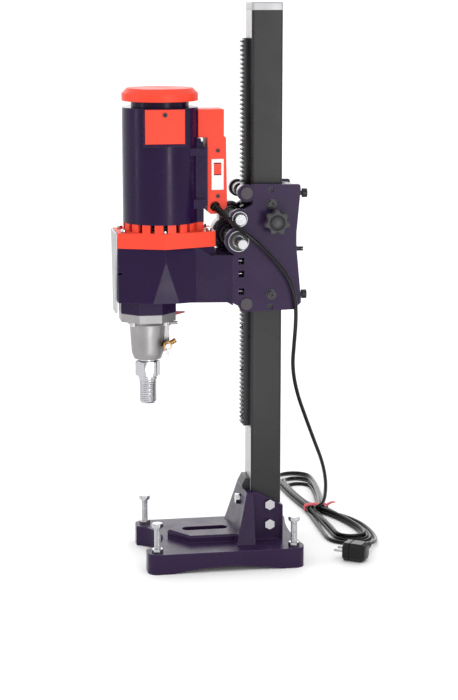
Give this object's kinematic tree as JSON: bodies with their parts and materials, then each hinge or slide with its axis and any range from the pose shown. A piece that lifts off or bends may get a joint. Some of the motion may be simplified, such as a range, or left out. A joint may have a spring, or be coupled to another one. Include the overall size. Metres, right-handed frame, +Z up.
{
  "type": "core drill rig",
  "caption": "Electric core drill with gearbox and water feed, on a rack-and-pinion carriage that travels up and down a column on a cast base with levelling bolts.",
  "frame": {"origin": "bottom centre of the rig's box, on the surface that the base's four feet stand on", "axes": "+Z is up along the column; -Y is towards the drill; +X is the operator's side, with the switch and the star knob"},
  "size_m": [0.622, 0.496, 1],
  "materials": {
    "purple_paint": "gloss dark purple paint on cast metal",
    "purple_alloy": "gloss dark purple paint on an aluminium casting",
    "black_paint": "gloss black paint on a steel tube",
    "black_oxide": "black oxide steel",
    "steel": "machined steel",
    "chrome": "bright zinc or chrome plating",
    "aluminium": "bead-blasted aluminium casting",
    "light_grey": "silver-grey paint",
    "dark_grey": "dark grey paint",
    "dark_red": "dark red moulded plastic",
    "brass": "turned brass",
    "copper": "copper segments",
    "red_plastic": "coral red moulded plastic",
    "black_plastic": "black moulded plastic",
    "white_plastic": "white moulded plastic",
    "bronze_pad": "bearing-grade plastic",
    "core_iron": "laminated electrical steel",
    "carbon": "pressed carbon",
    "black_rubber": "smooth black rubber",
    "red_tie": "red rubber band"
  },
  "bodies": {
    "stand": {"base_casting": "purple_paint", "column_tube": "black_paint", "column_cap": "light_grey", "gear_rack": "black_oxide", "rack_screws": "black_oxide", "column_bolts": "chrome", "column_wedge": "black_oxide", "levelling_nuts": "chrome", "cord_hank": "black_rubber", "hank_tie": "red_tie", "mains_plug": "black_rubber"},
    "carriage": {"carriage_casting": "purple_paint", "roller_pins": "dark_grey", "guide_pads": "bronze_pad", "guide_screws": "black_oxide", "shaft_bearings": "steel", "feed_gear_case": "light_grey", "arm_bolts": "chrome", "gearbox_housing": "purple_alloy", "front_cover": "light_grey", "gearbox_bolts": "chrome", "spindle_housing": "aluminium", "spindle_seal": "black_rubber", "drive_bearings": "steel", "water_valve": "brass", "stop_bolt": "steel", "depth_pointer": "dark_red", "motor_flange": "red_plastic", "motor_casing": "purple_alloy", "motor_end_bell": "purple_alloy", "motor_cap": "red_plastic", "brush_covers": "red_plastic", "brush_holders": "brass", "carbon_brushes": "carbon", "small_screws": "black_oxide", "stator": "core_iron", "switch_box": "red_plastic", "switch_plate": "white_plastic", "strain_relief": "black_rubber", "power_cord": "black_rubber"},
    "levelling_bolt_1": {"levelling_bolt_1": "chrome"},
    "levelling_bolt_2": {"levelling_bolt_2": "chrome"},
    "levelling_bolt_3": {"levelling_bolt_3": "chrome"},
    "levelling_bolt_4": {"levelling_bolt_4": "chrome"},
    "upper_rollers": {"upper_rollers": "steel"},
    "lower_rollers": {"lower_rollers": "steel"},
    "pinion_shaft": {"pinion_shaft": "steel"},
    "feed_shaft": {"feed_shaft": "steel"},
    "lock_knob": {"lock_knob": "black_plastic", "lock_stud": "steel"},
    "spindle": {"spindle": "chrome", "spindle_gear": "steel"},
    "countershaft": {"countershaft": "steel"},
    "armature": {"armature_shaft": "steel", "armature_core": "core_iron", "commutator": "copper", "cooling_fan": "black_plastic"},
    "valve_lever": {"valve_lever": "steel"},
    "switch_rocker": {"switch_rocker": "red_plastic"}
  },
  "joints": [
    {"name": "carriage_slide", "type": "slide", "parent": "stand", "child": "carriage", "axis": [0, 0, 1], "range_m": [-0.285, 0.29], "deforming": ["power_cord"]},
    {"name": "pinion_turn", "type": "hinge", "parent": "carriage", "child": "pinion_shaft", "pos_m": [0, 0.04515, 0.5864], "axis": [1, 0, 0], "range_deg": [-1300, 1300]},
    {"name": "feed_shaft_turn", "type": "hinge", "parent": "carriage", "child": "feed_shaft", "pos_m": [0, 0.04719, 0.62535], "axis": [1, 0, 0], "range_deg": [-2900, 2900]},
    {"name": "upper_rollers_turn", "type": "hinge", "parent": "carriage", "child": "upper_rollers", "pos_m": [0, 0.0592, 0.671], "axis": [1, 0, 0], "range_deg": [-1450, 1450]},
    {"name": "lower_rollers_turn", "type": "hinge", "parent": "carriage", "child": "lower_rollers", "pos_m": [0, 0.0592, 0.474], "axis": [1, 0, 0], "range_deg": [-1450, 1450]},
    {"name": "lock_knob_turn", "type": "hinge", "parent": "carriage", "child": "lock_knob", "pos_m": [0, 0.1086, 0.6207], "axis": [1, 0, 0], "range_deg": [0, 360]},
    {"name": "spindle_turn", "type": "hinge", "parent": "carriage", "child": "spindle", "pos_m": [0, -0.1116, 0.33], "axis": [0, 0, 1], "continuous": true},
    {"name": "countershaft_turn", "type": "hinge", "parent": "carriage", "child": "countershaft", "pos_m": [0.02678, -0.09501, 0.52], "axis": [0, 0, 1], "continuous": true},
    {"name": "armature_turn", "type": "hinge", "parent": "carriage", "child": "armature", "pos_m": [0, -0.0864, 0.7], "axis": [0, 0, 1], "continuous": true},
    {"name": "valve_lever_turn", "type": "hinge", "parent": "carriage", "child": "valve_lever", "pos_m": [0.03, -0.079, 0.399], "axis": [1, 0, 0], "range_deg": [0, 90]},
    {"name": "switch_rock", "type": "hinge", "parent": "carriage", "child": "switch_rocker", "pos_m": [0.0225, 0.0117, 0.712], "axis": [0, 1, 0], "range_deg": [0, 14]},
    {"name": "levelling_bolt_1_travel", "type": "slide", "parent": "stand", "child": "levelling_bolt_1", "axis": [0, 0, 1], "range_m": [-0.015, 0.02]},
    {"name": "levelling_bolt_2_travel", "type": "slide", "parent": "stand", "child": "levelling_bolt_2", "axis": [0, 0, 1], "range_m": [-0.015, 0.02]},
    {"name": "levelling_bolt_3_travel", "type": "slide", "parent": "stand", "child": "levelling_bolt_3", "axis": [0, 0, 1], "range_m": [-0.015, 0.02]},
    {"name": "levelling_bolt_4_travel", "type": "slide", "parent": "stand", "child": "levelling_bolt_4", "axis": [0, 0, 1], "range_m": [-0.015, 0.02]}
  ],
  "couplings": [
    {"joint": "pinion_turn", "follows": "carriage_slide", "rad_per_m": -72.727},
    {"joint": "feed_shaft_turn", "follows": "carriage_slide", "rad_per_m": 163.64},
    {"joint": "upper_rollers_turn", "follows": "carriage_slide", "rad_per_m": -81.301},
    {"joint": "lower_rollers_turn", "follows": "carriage_slide", "rad_per_m": -81.301},
    {"joint": "countershaft_turn", "follows": "spindle_turn", "ratio": -2.5},
    {"joint": "armature_turn", "follows": "spindle_turn", "ratio": 10}
  ]
}
